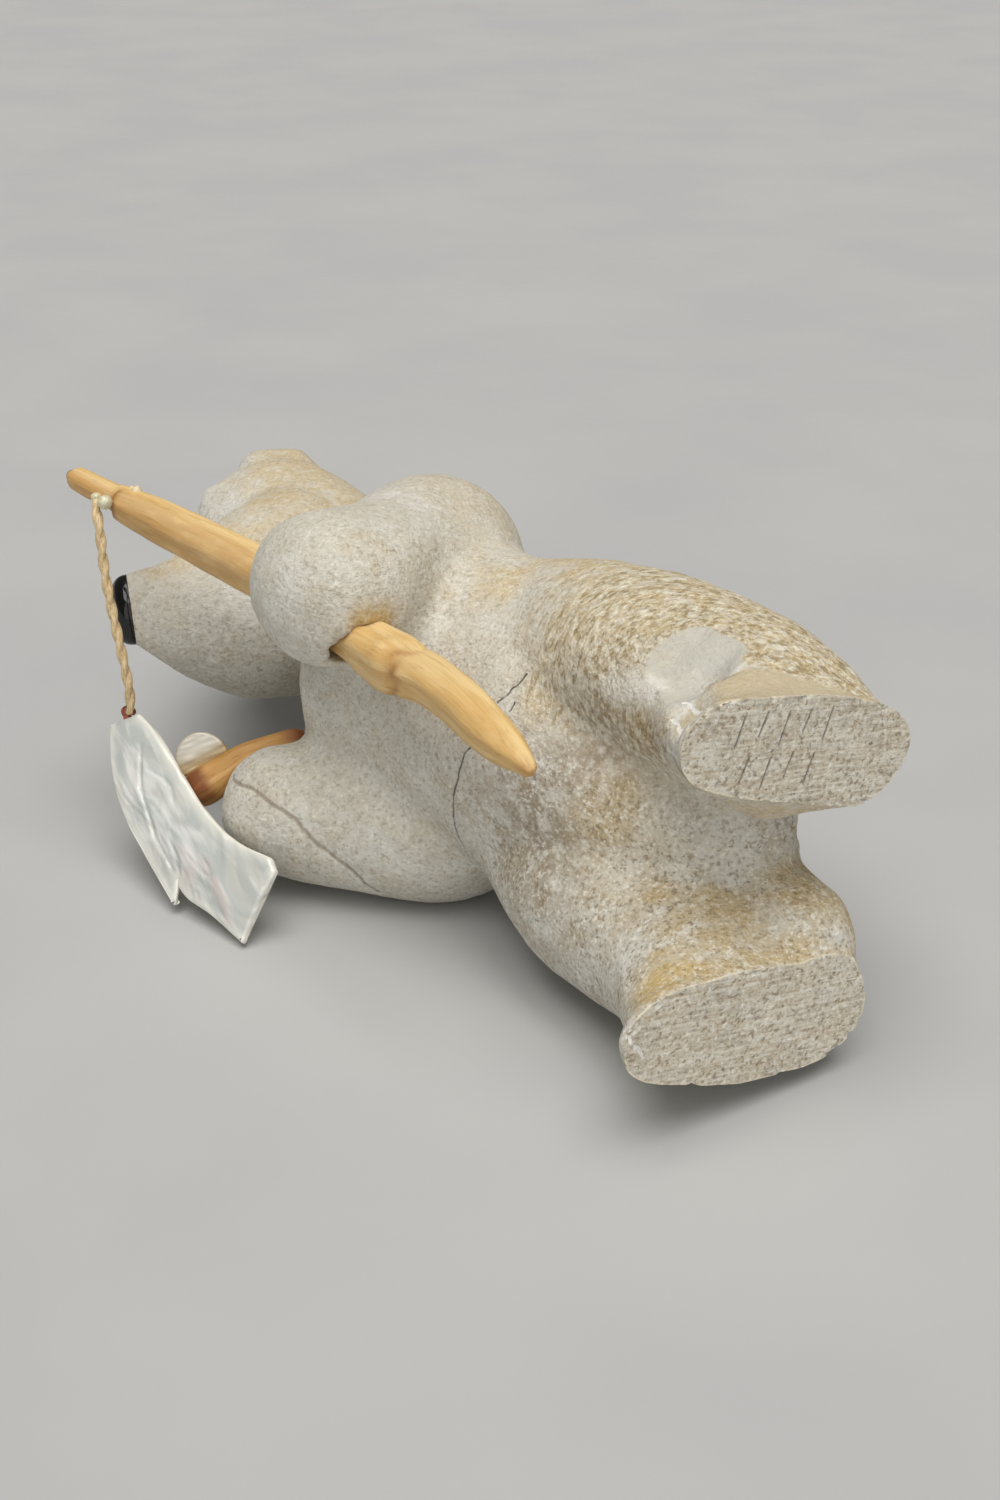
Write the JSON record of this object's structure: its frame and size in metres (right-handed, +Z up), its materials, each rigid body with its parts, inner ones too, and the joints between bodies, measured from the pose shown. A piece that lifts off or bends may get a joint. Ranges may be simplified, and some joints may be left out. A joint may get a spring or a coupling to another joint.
{
  "type": "bear fetish carving",
  "caption": "Carved stone bear lying on its side with sawn flat soles, a wooden fishing rod in one paw, a line with a shell fish, and a small hatchet in the other",
  "frame": {"origin": "middle of the box around the carving without its line and fish, on the surface it lies on", "axes": "+X runs along the bear from its crown to its soles, -Y is its belly side, +Z is up and is the bear's left"},
  "size_m": [0.1429, 0.0619, 0.0552],
  "materials": {
    "stone": "matt, granular, rasped and worn smooth",
    "nose": "polished black jet",
    "wood": "smooth, bare, light wood",
    "line": "twisted cream sinew",
    "shell": "polished mother-of-pearl"
  },
  "bodies": {
    "root": {"stone_bear": "stone", "nose": "nose", "fishing_rod": "wood", "line_knot": "line", "fishing_line": "line", "shell_fish": "shell", "hatchet_handle": "wood", "hatchet_blade": "shell"}
  },
  "joints": []
}
